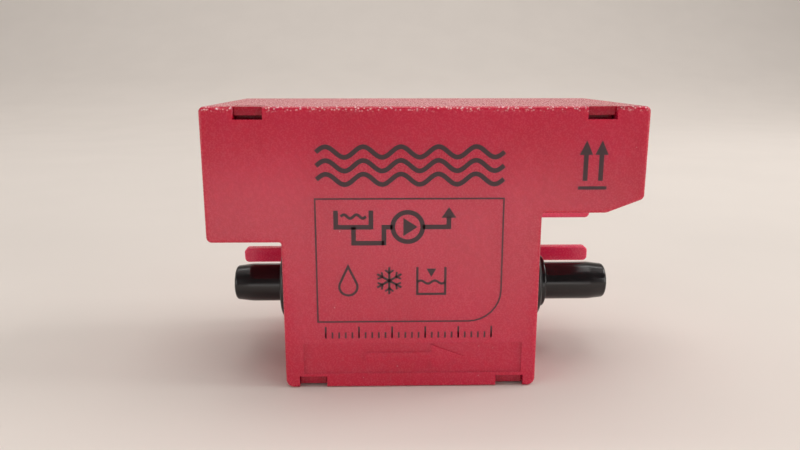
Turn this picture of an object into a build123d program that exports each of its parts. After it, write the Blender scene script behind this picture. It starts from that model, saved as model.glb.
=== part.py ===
from build123d import *
from math import cos, pi, sin
import os

# Mini condensate pump: a T-shaped moulded housing in two half shells, an oscillating-piston
# solenoid pump across its leg, and the control electronics in its head.
# Millimetres. +X runs from the inlet to the outlet, +Y from the front to the back, +Z up.
# X = 0 is the middle of the head, Y = 0 the joint between the shells and the pump's axis plane,
# and Z = 0 the bottom of the leg.

# ---- driving dimensions: housing ----
WIDTH = 80.0
DEPTH = 40.0
HEIGHT = 53.2
WALL = 2.0
LEG_LEFT = -26.4
LEG_RIGHT = 21.4
LEFT_ARM_Z = 28.6
RIGHT_ARM_Z = 33.9
CHAMFER_X = 33.2
CHAMFER_Z = 36.5
ARM_RADIUS = 1.0
LEG_RADIUS = 1.5
INNER_CORNER_RADIUS = 0.4
RIM_RADIUS = 0.6
JOINT_CHAMFER = 0.15
LIP_WIDTH = 0.9
LIP_HEIGHT = 1.5
LIP_GAP = 0.1
FIT_GAP = 0.05
RIB_X = (-12.0, 4.0, 20.0)
RIB_HALF = 0.6
RIB_HEIGHT = 2.0

# Snap hooks: middle in X, and the window that each head stands in.
HOOK_WIDTH = 5.0
WINDOW_WIDTH = 5.3
WINDOW_DEPTH = 4.4
TOP_HOOK_X = (-31.45, 31.4)
BOTTOM_HOOK_X = (-21.2, 16.4)
TOP_WINDOW_Z = 50.9
BOTTOM_WINDOW_Z = 2.25
HOOK_FACE = 1.0
HOOK_BEVEL = 0.8
HOOK_HEAD = 1.6
TONGUE_ROOT_Y = 6.0
TONGUE_THICK = 1.4
TONGUE_GAP = 0.1
TONGUE_SINK = 0.4
TOP_HEAD_DROP = 0.2
BOTTOM_HEAD_Z = 0.9

# Ears beside the leg at the back, with a slot between the upper and the lower ear.
EAR_FRONT_Y = 12.5
EAR_THICK = 2.4
LOWER_EAR_Z = (15.9, 19.2)
UPPER_EAR_Z = 26.2
EAR_RADIUS = 1.0
EAR_CHAMFER = 0.35

# Recessed field near the foot, with a raised flow arrow.
FIELD_X = (-22.9, 18.55)
FIELD_Z = (2.9, 9.0)
FIELD_DEPTH = 0.3
ARROW_Z = 6.2
ARROW_X = (-11.3, 1.3, 7.6)
ARROW_SHAFT = 1.7
ARROW_HEAD = 4.7

# ---- driving dimensions: pump, all on one axis along X ----
AXIS_Z = 15.0
SPIGOT_TIP_X = (-39.1, 39.7)
SPIGOT_R = 4.0
SPIGOT_BORE_R = 2.4
TIP_LENGTH = 3.4
TIP_R = 3.6
TIP_BEVEL = (0.2, 0.6)
BODY_R = 5.5
BODY_CHAMFER = 0.4
PLUG_R = 4.72
INLET_SHOULDER_X = -28.8
OUTLET_SHOULDER_X = 26.4
TUBE_X = (-22.0, 17.0)
TUBE_R = (4.8, 6.0)
INLET_PLUG_X = -17.0
GROOVE_INSET = 2.5
GROOVE_WIDTH = 1.4
GROOVE_R = 3.72
O_RING_R = 0.5
O_RING_SIDES = 6

DAMPER_R = 7.5
DAMPER_NECK_R = 6.3
INLET_DAMPER_X = -29.1
OUTLET_DAMPER_X = 25.2
DAMPER_FLANGE = 2.0
DAMPER_CHAMFER = 0.5

ARMATURE_X = (-11.0, 4.0)
ARMATURE_BORE_R = 1.6
ARMATURE_CHAMFER = 0.4
PLUNGER_X = (-2.0, 12.5)
PLUNGER_R = 2.0
PLUNGER_BORE_R = 1.0
CYLINDER_X = (9.6, 18.8)
CYLINDER_FLANGE = 2.0
CYLINDER_R = 3.2
CYLINDER_BORE_R = 2.05
SEAL_R = 3.4
SEAL_THICK = 1.2

VALVE_GAP = 0.1
SUCTION_DISC_R = 1.75
SUCTION_DISC = 0.8
SUCTION_STEM_R = 0.6
SUCTION_STEM = 5.0
SUCTION_NOSE_R = 1.0
SUCTION_NOSE = 1.2
SUCTION_NOSE_CHAMFER = 0.4
SEAT_THICK = 1.4
SEAT_HOLE_R = 1.5
BALL_R = 2.0
THROAT_X = (29.0, 31.0)
THROAT_R = 1.6

# Springs: outer radius, wire radius and turns. Each turn is a ring of straight chords.
BUFFER_SPRING = (4.3, 0.35, 4)
MAIN_SPRING = (4.5, 0.35, 4)
SUCTION_SPRING = (1.7, 0.2, 5)
OUTLET_SPRING = (2.1, 0.2, 5)
SPRING_CHORDS = 10
SPRING_SIDES = 6

# ---- driving dimensions: coil and magnet circuit ----
YOKE_X = (-18.5, 13.5)
YOKE_HALF_Z = 12.8
YOKE_HALF_Y = 10.0
YOKE_THICK = 2.0
YOKE_BEND_R = 2.5
SLEEVE_R = (6.03, 6.97)
SLEEVE_FLANGE_R = 8.5
SLEEVE_FLANGE = 0.7
GAP_X = (-6.5, 1.5)
BOBBIN_R = (7.0, 7.7)
BOBBIN_FLANGE_R = 10.4
BOBBIN_FLANGE = 1.3
WINDING_R = 10.0
BLOCK_RIM = 1.5
BLOCK_WEB_Y = 9.0
BLOCK_Z = (11.9, 18.9)
TERMINAL_X = (-15.0, -12.0)
TERMINAL_Y = 13.5
TERMINAL_TOP_Z = 22.8
TERMINAL_SINK = 2.0
PIN_HALF = 0.4
LEAD_R = 0.5
LEAD_SIDES = 8
COIL_LEAD_RISE = 2.0
CUTOUT_X = (-9.0, 3.0)
CUTOUT_HALF_Y = 2.5
CUTOUT_HEIGHT = 3.0
CUTOUT_CORNER = 1.0
CUTOUT_LEAD_Y = (-1.2, 1.2)
CUTOUT_LEAD_X = 6.0
CUTOUT_LEAD_SET_OFF = 4.0
CUTOUT_LEAD_RISE = 1.0

# ---- driving dimensions: electronics in the head ----
BOARD_X = (-36.5, 34.5)
BOARD_Z = (37.5, 50.8)
BOARD_FRONT_Y = 10.4
BOARD_THICK = 1.6
SCREW_X = 22.0
SCREW_Z = 48.0
SCREW_HEAD_R = 2.0
SCREW_HEAD = 1.4
SCREW_HOLE_R = 1.3
SCREW_LENGTH = 5.0
BOSS_R = 2.6
PILOT_R = 0.9

# Boxes on the board: first and last X, first and last Z, height.
RELAY = (-18.5, -3.5, 39.0, 46.0, 10.0)
FILM_CAPACITOR = (-1.5, 11.5, 39.6, 45.1, 11.0)
CONTROLLER_CHIP = (-0.5, 4.5, 46.4, 50.2, 1.5)

# Round parts on the board, with the height of their middle or end over it.
CAN_X = 24.0
CAN_Z = 43.0
CAN_R = 2.4
CAN_HEIGHT = 7.0
VARISTOR_X = 15.5
VARISTOR_Z = 42.5
VARISTOR_R = 3.75
VARISTOR_THICK = 3.4
TRIAC_X = 19.0
TRIAC_Z = 42.5
TRIAC_R = 2.3
TRIAC_HEIGHT = 4.6
TRIAC_FLAT = 1.2
UPRIGHT_MIDDLE = 5.0
LEG_LENGTH = 3.0
LEG_HALF = 0.25
VARISTOR_LEG_PITCH = 4.0
TRIAC_LEG_PITCH = 1.3

# Axial parts: radius, height over the board, and the leads' reach beyond the body.
FUSE_X = (-15.0, -6.0)
FUSE_Z = 48.4
FUSE_R = 1.6
FUSE_STAND_OFF = 2.0
RESISTOR_X = (7.4, 14.0)
RESISTOR_Z = 48.0
RESISTOR_LENGTH = 3.5
RESISTOR_R = 0.9
RESISTOR_STAND_OFF = 1.2
AXIAL_REACH = 1.2
AXIAL_LEAD_R = 0.3
AXIAL_LEAD_SIDES = 4

# ---- driving dimensions: sockets in the arms' ends ----
SUPPLY_SOCKET_Z = 42.0
SUPPLY_HALF_Z = 5.0
SUPPLY_PINS = (-3.0, 0.0, 3.0)
SENSOR_SOCKET_Z = 43.4
SENSOR_HALF_Z = 3.5
SENSOR_PINS = (-2.25, -0.75, 0.75, 2.25)
SOCKET_HALF_Y = 3.0
SOCKET_RIM = 1.0
SOCKET_SETBACK = 0.2
SOCKET_DEPTH = 10.3
SOCKET_REAR_X = 28.0
SOCKET_BODY_Y = 6.0
SOCKET_SHOULDER = 0.8
KEYWAY_DEPTH = 0.5
KEYWAY_HALF = 1.0
KEYWAY_START = 2.0
BLADE_SETBACK = 4.8
BLADE_HALF = 0.4
BLADE_TAIL = 1.4

ROOT = "parts"


# ---- small helpers ----
def box(x0, x1, y0, y1, z0, z1):
    """A box between two corners."""
    return Pos((x0 + x1) / 2, (y0 + y1) / 2, (z0 + z1) / 2) * Box(x1 - x0, y1 - y0, z1 - z0)


def rounded(points, radii):
    """A closed outline with a radius of its own at each corner."""
    return make_face(FilletPolyline(*points, radius=radii, close=True))


def prism_y(sketch, y0, y1):
    """Extrude an (X, Z) sketch from y0 to y1."""
    return extrude(Plane.XZ.offset(-y0) * sketch, amount=y1 - y0, dir=(0, 1, 0))


def prism_x(sketch, x0, x1):
    """Extrude a (Y, Z) sketch from x0 to x1."""
    return extrude(Plane.YZ.offset(x0) * sketch, amount=x1 - x0, dir=(1, 0, 0))


def turned(points):
    """Revolve an (X, radius) profile about the pump's axis."""
    return Pos(0, 0, AXIS_Z) * revolve(Polygon(*points, align=None), axis=Axis.X)


def rod_y(x, z, radius, y0, y1):
    """A cylinder along Y from y0 to y1."""
    return Pos(x, (y0 + y1) / 2, z) * Rot(90, 0, 0) * Cylinder(radius, y1 - y0)


def ring(x0, x1, inner, outer):
    """A plain ring on the pump's axis."""
    return turned([(x0, inner), (x1, inner), (x1, outer), (x0, outer)])


def coil_spring(x0, x1, spring):
    """A helical spring on the pump's axis between two seats."""
    outer, wire_r, turns = spring
    length = x1 - x0 - 2 * wire_r
    radius = outer - wire_r
    steps = turns * SPRING_CHORDS
    points = []
    for step in range(steps + 1):
        angle = 2 * pi * step / SPRING_CHORDS
        x = x0 + wire_r + length * step / steps
        points.append((x, radius * sin(angle), AXIS_Z + radius * cos(angle)))
    path = Polyline(*points)
    start = Plane(origin=path @ 0, z_dir=path % 0)
    return sweep(start * RegularPolygon(wire_r, SPRING_SIDES), path=path, transition=Transition.RIGHT)


def wire(points, wire_r, sides):
    """A wire along straight runs with mitred corners."""
    path = Polyline(*points)
    start = Plane(origin=path @ 0, z_dir=path % 0)
    return sweep(start * RegularPolygon(wire_r, sides), path=path, transition=Transition.RIGHT)


# ---- housing ----
def housing_outline():
    """The T-shaped outline that both half shells share."""
    half = WIDTH / 2
    corners = [
        ((-half, LEFT_ARM_Z), ARM_RADIUS),
        ((-half, HEIGHT), ARM_RADIUS),
        ((half, HEIGHT), ARM_RADIUS),
        ((half, CHAMFER_Z), ARM_RADIUS),
        ((CHAMFER_X, RIGHT_ARM_Z), 2 * ARM_RADIUS),
        ((LEG_RIGHT, RIGHT_ARM_Z), INNER_CORNER_RADIUS),
        ((LEG_RIGHT, 0), LEG_RADIUS),
        ((LEG_LEFT, 0), LEG_RADIUS),
        ((LEG_LEFT, LEFT_ARM_Z), INNER_CORNER_RADIUS),
    ]
    return rounded([point for point, _ in corners], [radius for _, radius in corners])


def inset(outline, amount):
    """The outline moved inwards, with sharp corners."""
    return offset(outline, amount=-amount, kind=Kind.INTERSECTION)


def side_cuts():
    """Holes for the dampers and the sockets, cut through both half shells."""
    hole_r = DAMPER_NECK_R + FIT_GAP
    holes = ring(LEG_LEFT - 1, LEG_LEFT + WALL + 1, 0, hole_r)
    holes += ring(LEG_RIGHT - WALL - 1, LEG_RIGHT + 1, 0, hole_r)
    half = WIDTH / 2
    reach = SOCKET_HALF_Y + SOCKET_RIM + LIP_GAP
    places = ((-1, SUPPLY_SOCKET_Z, SUPPLY_HALF_Z), (1, SENSOR_SOCKET_Z, SENSOR_HALF_Z))
    for side, middle, half_z in places:
        tall = half_z + SOCKET_RIM + LIP_GAP
        x0, x1 = sorted((side * (half - WALL), side * (half + 1)))
        holes += box(x0, x1, -reach, reach, middle - tall, middle + tall)
    return holes


def flow_arrow():
    """The (X, Z) outline of the raised flow arrow."""
    tail, neck, tip = ARROW_X
    shaft = ARROW_SHAFT / 2
    head = ARROW_HEAD / 2
    points = [
        (tail, ARROW_Z - shaft),
        (neck, ARROW_Z - shaft),
        (neck, ARROW_Z - head),
        (tip, ARROW_Z),
        (neck, ARROW_Z + head),
        (neck, ARROW_Z + shaft),
        (tail, ARROW_Z + shaft),
    ]
    return Polygon(*points, align=None)


def front_cover():
    """Front half shell: face, walls to the joint, snap windows, field with the flow arrow."""
    outline = housing_outline()
    front = -DEPTH / 2
    shell = prism_y(outline, front, 0)
    shell = fillet(shell.faces().sort_by(Axis.Y)[0].edges(), RIM_RADIUS)
    shell = chamfer(shell.faces().sort_by(Axis.Y)[-1].edges(), JOINT_CHAMFER)
    shell -= prism_y(inset(outline, WALL), front + WALL, 0)
    shell -= prism_y(inset(outline, WALL - LIP_WIDTH - LIP_GAP), -LIP_HEIGHT - LIP_GAP, 0)
    inner = front + WALL
    for x in RIB_X:
        shell += box(x - RIB_HALF, x + RIB_HALF, inner - 1, inner + RIB_HEIGHT, CHAMFER_Z, HEIGHT - 1)
    half = WINDOW_WIDTH / 2
    for x in TOP_HOOK_X:
        shell -= box(x - half, x + half, front - 1, front + WINDOW_DEPTH, TOP_WINDOW_Z, HEIGHT + 1)
    for x in BOTTOM_HOOK_X:
        shell -= box(x - half, x + half, front - 1, front + WINDOW_DEPTH, -1, BOTTOM_WINDOW_Z)
    field = box(*FIELD_X, front - 1, front + FIELD_DEPTH, *FIELD_Z)
    shell -= field - prism_y(flow_arrow(), front - 1, front + 1)
    return shell - side_cuts()


def hook_profile(top):
    """The (Y, Z) outline of a snap tongue, for the top or the bottom wall."""
    face = HOOK_FACE - DEPTH / 2
    catch = WINDOW_DEPTH - LIP_GAP - DEPTH / 2
    wall_in = HEIGHT - WALL if top else WALL
    out = 1 if top else -1
    tongue_out = wall_in - out * TONGUE_GAP
    tongue_in = tongue_out - out * TONGUE_THICK
    root = wall_in + out * TONGUE_SINK
    head_out = HEIGHT - TOP_HEAD_DROP if top else BOTTOM_HEAD_Z
    head_in = root if top else BOTTOM_WINDOW_Z - TONGUE_GAP
    points = [
        (TONGUE_ROOT_Y, root),
        (0, root),
        (0, tongue_out),
        (catch, tongue_out),
        (catch, head_out),
        (face + HOOK_BEVEL, head_out),
        (face, head_out - out * HOOK_BEVEL),
        (face, head_in),
        (face + HOOK_HEAD, head_in),
        (face + HOOK_HEAD, tongue_in),
        (TONGUE_ROOT_Y, tongue_in),
    ]
    return Polygon(*points, align=None)


def ear(corners, radii):
    """One ear from its (X, Z) corners, with its front edges chamfered."""
    block = prism_y(rounded(corners, radii), EAR_FRONT_Y, EAR_FRONT_Y + EAR_THICK)
    return chamfer(block.faces().sort_by(Axis.Y)[0].edges(), EAR_CHAMFER)


def ears():
    """Flat upper and lower ears on both sides of the leg, as wide as the head."""
    half = WIDTH / 2
    solid = Part()
    low, high = LOWER_EAR_Z
    into_arm = 2 * ARM_RADIUS
    for side, leg, arm_z in ((-1, LEG_LEFT, LEFT_ARM_Z), (1, LEG_RIGHT, CHAMFER_Z)):
        root = leg - side * WALL / 2
        tip = side * half
        top = arm_z + into_arm
        lower = [(root, low), (tip, low), (tip, high), (root, high)]
        solid += ear(lower, [0, EAR_RADIUS, EAR_RADIUS, 0])
        upper = [(root, UPPER_EAR_Z), (tip, UPPER_EAR_Z), (tip, top), (root, top)]
        solid += ear(upper, [0, EAR_RADIUS, 0, 0])
    return solid


def rear_housing():
    """Rear half shell: walls, back, lip, ears, board bosses and the four snap tongues."""
    outline = housing_outline()
    back = DEPTH / 2
    shell = prism_y(outline, 0, back)
    shell = fillet(shell.faces().sort_by(Axis.Y)[-1].edges(), RIM_RADIUS)
    shell = chamfer(shell.faces().sort_by(Axis.Y)[0].edges(), JOINT_CHAMFER)
    shell += ears()
    lip = inset(outline, WALL - LIP_WIDTH)
    shell += prism_y(lip, -LIP_HEIGHT, 0)
    shell -= prism_y(inset(outline, WALL), -LIP_HEIGHT, back - WALL)
    board_back = BOARD_FRONT_Y + BOARD_THICK
    for x in (-SCREW_X, SCREW_X):
        shell += rod_y(x, SCREW_Z, BOSS_R, board_back, back - WALL / 2)
        shell -= rod_y(x, SCREW_Z, PILOT_R, BOARD_FRONT_Y, BOARD_FRONT_Y + SCREW_LENGTH)
    half = HOOK_WIDTH / 2
    for x in TOP_HOOK_X:
        shell += prism_x(hook_profile(True), x - half, x + half)
    for x in BOTTOM_HOOK_X:
        shell += prism_x(hook_profile(False), x - half, x + half)
    return shell - side_cuts()


# ---- spigots, dampers and seals ----
def groove_x(side):
    """The middle of the O-ring groove on one side's plug."""
    tube_end = TUBE_X[0] if side < 0 else TUBE_X[1]
    return tube_end - side * GROOVE_INSET


def spigot_profile(side, shoulder_x, plug_x):
    """Outer (X, radius) points from the tip to the plug's end."""
    tip = SPIGOT_TIP_X[0] if side < 0 else SPIGOT_TIP_X[1]
    small, large = TIP_BEVEL
    tube_end = TUBE_X[0] if side < 0 else TUBE_X[1]
    near = groove_x(side) + side * GROOVE_WIDTH / 2
    far = groove_x(side) - side * GROOVE_WIDTH / 2
    return [
        (tip, TIP_R - large),
        (tip - side * small, TIP_R - small),
        (tip - side * large, TIP_R),
        (tip - side * TIP_LENGTH, SPIGOT_R),
        (shoulder_x, SPIGOT_R),
        (shoulder_x, BODY_R - BODY_CHAMFER),
        (shoulder_x - side * BODY_CHAMFER, BODY_R),
        (tube_end, BODY_R),
        (tube_end, PLUG_R),
        (near, PLUG_R),
        (near, GROOVE_R),
        (far, GROOVE_R),
        (far, PLUG_R),
        (plug_x, PLUG_R),
    ]


def inlet_spigot():
    """Hose spigot, damper body and plug with its O-ring groove, with one straight bore."""
    bore = [(INLET_PLUG_X, SPIGOT_BORE_R), (SPIGOT_TIP_X[0], SPIGOT_BORE_R)]
    return turned(spigot_profile(-1, INLET_SHOULDER_X, INLET_PLUG_X) + bore)


def outlet_spigot():
    """As the inlet's, with a stepped bore for the cylinder, the outlet valve and its spring."""
    plug_x = CYLINDER_X[0] + CYLINDER_FLANGE
    seat_end = CYLINDER_X[1] + SEAT_THICK
    throat_in, throat_out = THROAT_X
    bore = [
        (plug_x, CYLINDER_R),
        (seat_end, CYLINDER_R),
        (seat_end, SPIGOT_BORE_R),
        (throat_in, SPIGOT_BORE_R),
        (throat_in, THROAT_R),
        (throat_out, THROAT_R),
        (throat_out, SPIGOT_BORE_R),
        (SPIGOT_TIP_X[1], SPIGOT_BORE_R),
    ]
    return turned(spigot_profile(1, OUTLET_SHOULDER_X, plug_x) + bore)


def damper(side, outer_x, wall_x):
    """Rubber bush in a leg wall: outer flange, neck and barbed inner flange, with a plain bore."""
    inner_wall = wall_x - side * WALL
    inner_x = inner_wall - side * DAMPER_FLANGE
    profile = [
        (outer_x, BODY_R),
        (outer_x, DAMPER_R - DAMPER_CHAMFER),
        (outer_x - side * DAMPER_CHAMFER, DAMPER_R),
        (wall_x, DAMPER_R),
        (wall_x, DAMPER_NECK_R),
        (inner_wall, DAMPER_NECK_R),
        (inner_wall, DAMPER_R),
        (inner_x, DAMPER_NECK_R),
        (inner_x, BODY_R),
    ]
    return turned(profile)


def o_ring(side):
    """An O-ring in one side's groove."""
    section = RegularPolygon(O_RING_R, O_RING_SIDES)
    middle_r = GROOVE_R + O_RING_R + FIT_GAP / 2
    turn = revolve(Pos(groove_x(side), middle_r) * section, axis=Axis.X)
    return Pos(0, 0, AXIS_Z) * turn


# ---- piston, cylinder and valves ----
def armature():
    """Steel armature with a flow bore behind and the plunger's seat in front."""
    rear, front = ARMATURE_X
    profile = [
        (rear, ARMATURE_BORE_R),
        (rear, PLUG_R - ARMATURE_CHAMFER),
        (rear + ARMATURE_CHAMFER, PLUG_R),
        (front - ARMATURE_CHAMFER, PLUG_R),
        (front, PLUG_R - ARMATURE_CHAMFER),
        (front, PLUNGER_R),
        (PLUNGER_X[0], PLUNGER_R),
        (PLUNGER_X[0], ARMATURE_BORE_R),
    ]
    return turned(profile)


def pump_cylinder():
    """Sleeve that the plunger runs in, with a flange and a counterbore for the seal."""
    start, end = CYLINDER_X
    profile = [
        (start, SEAL_R),
        (start, PLUG_R),
        (start + CYLINDER_FLANGE, PLUG_R),
        (start + CYLINDER_FLANGE, CYLINDER_R),
        (end, CYLINDER_R),
        (end, CYLINDER_BORE_R),
        (start + SEAL_THICK, CYLINDER_BORE_R),
        (start + SEAL_THICK, SEAL_R),
    ]
    return turned(profile)


def suction_valve():
    """Poppet with a guide stem in the plunger's bore and a nose that centres its spring."""
    face = PLUNGER_X[1] + VALVE_GAP
    front = face + SUCTION_DISC
    nose = front + SUCTION_NOSE
    profile = [
        (face - SUCTION_STEM, 0),
        (face - SUCTION_STEM, SUCTION_STEM_R),
        (face, SUCTION_STEM_R),
        (face, SUCTION_DISC_R),
        (front, SUCTION_DISC_R),
        (front, SUCTION_NOSE_R),
        (nose - SUCTION_NOSE_CHAMFER, SUCTION_NOSE_R),
        (nose, SUCTION_NOSE_R - SUCTION_NOSE_CHAMFER),
        (nose, 0),
    ]
    return turned(profile)


def ball_centre_x():
    """The outlet ball's centre when it rests just off the seat's edge."""
    edge = CYLINDER_X[1] + SEAT_THICK
    return edge + (BALL_R**2 - SEAT_HOLE_R**2) ** 0.5 + VALVE_GAP / 2


# ---- coil and magnet circuit ----
def coil_bobbin():
    """Bobbin with two flanges and a terminal block on the back of its inlet flange."""
    x0, x1 = YOKE_X[0] + YOKE_THICK, YOKE_X[1] - YOKE_THICK
    inner, outer = BOBBIN_R
    body = ring(x0, x1, inner, outer)
    body += ring(x0, x0 + BOBBIN_FLANGE, inner, BOBBIN_FLANGE_R)
    body += ring(x1 - BOBBIN_FLANGE, x1, inner, BOBBIN_FLANGE_R)
    body += box(x0, x0 + BOBBIN_FLANGE, BLOCK_WEB_Y, TERMINAL_Y, *BLOCK_Z)
    block_end = TERMINAL_X[1] + BLOCK_RIM
    body += box(x0, block_end, BOBBIN_FLANGE_R, TERMINAL_Y + BLOCK_RIM, *BLOCK_Z)
    return body - coil_terminals()


def square_pin(x, y, z0, z1):
    """A square pin along Z."""
    return box(x - PIN_HALF, x + PIN_HALF, y - PIN_HALF, y + PIN_HALF, z0, z1)


def coil_terminals():
    """Two square pins that stand in the bobbin's terminal block."""
    foot = BLOCK_Z[0] + TERMINAL_SINK
    return Part() + [square_pin(x, TERMINAL_Y, foot, TERMINAL_TOP_Z) for x in TERMINAL_X]


def coil_leads():
    """Two wires from the pins up to the back of the board."""
    leads = Part()
    board_back = BOARD_FRONT_Y + BOARD_THICK
    top = BOARD_Z[0] + COIL_LEAD_RISE
    for x in TERMINAL_X:
        points = [(x, TERMINAL_Y, TERMINAL_TOP_Z), (x, TERMINAL_Y, top), (x, board_back, top)]
        leads += wire(points, LEAD_R, LEAD_SIDES)
    return leads


def yoke():
    """Steel strip bent into a closed loop, with a hole in each end for the pole sleeves."""
    x0, x1 = YOKE_X
    z0, z1 = AXIS_Z - YOKE_HALF_Z, AXIS_Z + YOKE_HALF_Z
    corners = [(x0, z0), (x1, z0), (x1, z1), (x0, z1)]
    outer = rounded(corners, YOKE_BEND_R)
    t = YOKE_THICK
    inside = [(x0 + t, z0 + t), (x1 - t, z0 + t), (x1 - t, z1 - t), (x0 + t, z1 - t)]
    inner = rounded(inside, YOKE_BEND_R - t)
    loop = prism_y(outer, -YOKE_HALF_Y, YOKE_HALF_Y) - prism_y(inner, -YOKE_HALF_Y - 1, YOKE_HALF_Y + 1)
    return loop - ring(x0 - 1, x1 + 1, 0, BOBBIN_R[0])


def pole_sleeve(flange_x, end_x):
    """Flanged steel sleeve between the pump tube and the bobbin."""
    inner, outer = SLEEVE_R
    side = 1 if end_x > flange_x else -1
    seat = flange_x + side * SLEEVE_FLANGE
    profile = [
        (flange_x, inner),
        (flange_x, SLEEVE_FLANGE_R),
        (seat, SLEEVE_FLANGE_R),
        (seat, outer),
        (end_x, outer),
        (end_x, inner),
    ]
    return turned(profile)


def thermal_cutout():
    """Flat cut-out can that lies on the yoke's top strip."""
    z = AXIS_Z + YOKE_HALF_Z
    can = box(*CUTOUT_X, -CUTOUT_HALF_Y, CUTOUT_HALF_Y, z, z + CUTOUT_HEIGHT)
    return fillet(can.edges().filter_by(Axis.Z), CUTOUT_CORNER)


def cutout_leads():
    """Two wires from the cut-out to the front of the board."""
    leads = Part()
    z = AXIS_Z + YOKE_HALF_Z + CUTOUT_HEIGHT / 2
    top = BOARD_Z[0] + CUTOUT_LEAD_RISE
    for y in CUTOUT_LEAD_Y:
        x = CUTOUT_LEAD_X + y
        points = [
            (CUTOUT_X[1], y, z),
            (x, y, z),
            (x, BOARD_FRONT_Y - CUTOUT_LEAD_SET_OFF, top),
            (x, BOARD_FRONT_Y, top),
        ]
        leads += wire(points, LEAD_R, LEAD_SIDES)
    return leads


# ---- electronics ----
def circuit_board():
    """Board on the two bosses, with its screw holes."""
    board_back = BOARD_FRONT_Y + BOARD_THICK
    board = box(*BOARD_X, BOARD_FRONT_Y, board_back, *BOARD_Z)
    for x in (-SCREW_X, SCREW_X):
        board -= rod_y(x, SCREW_Z, SCREW_HOLE_R, BOARD_FRONT_Y - 1, board_back + 1)
    return board


def board_screws():
    """Two pan-head screws through the board into the bosses."""
    screws = Part()
    for x in (-SCREW_X, SCREW_X):
        screws += rod_y(x, SCREW_Z, SCREW_HEAD_R, BOARD_FRONT_Y - SCREW_HEAD, BOARD_FRONT_Y)
        screws += rod_y(x, SCREW_Z, PILOT_R, BOARD_FRONT_Y, BOARD_FRONT_Y + SCREW_LENGTH)
    return screws


def on_board(x0, x1, z0, z1, height):
    """A component body that stands on the board's front."""
    return box(x0, x1, BOARD_FRONT_Y - height, BOARD_FRONT_Y, z0, z1)


def electrolytic_capacitor():
    """Round can that stands on the board's front."""
    return rod_y(CAN_X, CAN_Z, CAN_R, BOARD_FRONT_Y - CAN_HEIGHT, BOARD_FRONT_Y)


def board_leg(x, z):
    """A square component leg that stands on the board's front."""
    return on_board(x - LEG_HALF, x + LEG_HALF, z - LEG_HALF, z + LEG_HALF, LEG_LENGTH)


def varistor():
    """Disc on edge with two legs."""
    place = Pos(VARISTOR_X, BOARD_FRONT_Y - UPRIGHT_MIDDLE, VARISTOR_Z) * Rot(0, 90, 0)
    disc = place * Cylinder(VARISTOR_R, VARISTOR_THICK)
    half = VARISTOR_LEG_PITCH / 2
    for z in (VARISTOR_Z - half, VARISTOR_Z + half):
        disc += board_leg(VARISTOR_X, z)
    return disc


def triac():
    """Half-round moulded body on three legs."""
    back = BOARD_FRONT_Y - UPRIGHT_MIDDLE + TRIAC_HEIGHT / 2
    front = back - TRIAC_HEIGHT
    body = rod_y(TRIAC_X, TRIAC_Z, TRIAC_R, front, back)
    flat_x = TRIAC_X - TRIAC_FLAT
    body -= box(flat_x - TRIAC_R, flat_x, front - 1, back + 1, TRIAC_Z - TRIAC_R, TRIAC_Z + TRIAC_R)
    for step in (-1, 0, 1):
        body += board_leg(TRIAC_X, TRIAC_Z + step * TRIAC_LEG_PITCH)
    return body


def axial_part(x0, x1, z, radius, stand_off):
    """An axial component with bent leads down to the board."""
    y = BOARD_FRONT_Y - stand_off
    body = Pos((x0 + x1) / 2, y, z) * Rot(0, 90, 0) * Cylinder(radius, x1 - x0)
    for end, reach in ((x0, -AXIAL_REACH), (x1, AXIAL_REACH)):
        lead = [(end, y, z), (end + reach, y, z), (end + reach, BOARD_FRONT_Y, z)]
        body += wire(lead, AXIAL_LEAD_R, AXIAL_LEAD_SIDES)
    return body


def resistors():
    """Two resistors in one row."""
    row = Part()
    for x in RESISTOR_X:
        end = x + RESISTOR_LENGTH
        row += axial_part(x, end, RESISTOR_Z, RESISTOR_R, RESISTOR_STAND_OFF)
    return row


# ---- sockets ----
def socket(side, middle, half_z, pins):
    """Moulded socket: nose in the end wall, shoulder behind it, mouth with a keyway."""
    nose = WIDTH / 2 - SOCKET_SETBACK
    wall_in = WIDTH / 2 - WALL
    y = SOCKET_HALF_Y
    mouth_end = nose - SOCKET_DEPTH
    rim_z = half_z + SOCKET_RIM
    body_z = rim_z + SOCKET_SHOULDER
    rim_y = y + SOCKET_RIM
    body = box(SOCKET_REAR_X, wall_in, -SOCKET_BODY_Y, BOARD_FRONT_Y, middle - body_z, middle + body_z)
    body += box(wall_in - 1, nose, -rim_y, rim_y, middle - rim_z, middle + rim_z)
    body -= box(mouth_end, nose + 1, -y, y, middle - half_z, middle + half_z)
    key_x = mouth_end + KEYWAY_START
    body -= box(key_x, nose + 1, -y - KEYWAY_DEPTH, 0, middle - KEYWAY_HALF, middle + KEYWAY_HALF)
    if side < 0:
        body = mirror(body, about=Plane.YZ)
    return body - contacts(side, middle, pins)


def contacts(side, middle, pins):
    """Blades in the mouth, each bent behind the socket towards the board."""
    blades = Part()
    tail = SOCKET_REAR_X - BLADE_TAIL
    tip = WIDTH / 2 - BLADE_SETBACK
    half = BLADE_HALF
    for pin in pins:
        z = middle + pin
        blades += box(tail, tip, -half, half, z - half, z + half)
        blades += box(tail, tail + 2 * half, -half, BOARD_FRONT_Y, z - half, z + half)
    if side < 0:
        blades = mirror(blades, about=Plane.YZ)
    return blades


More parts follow.
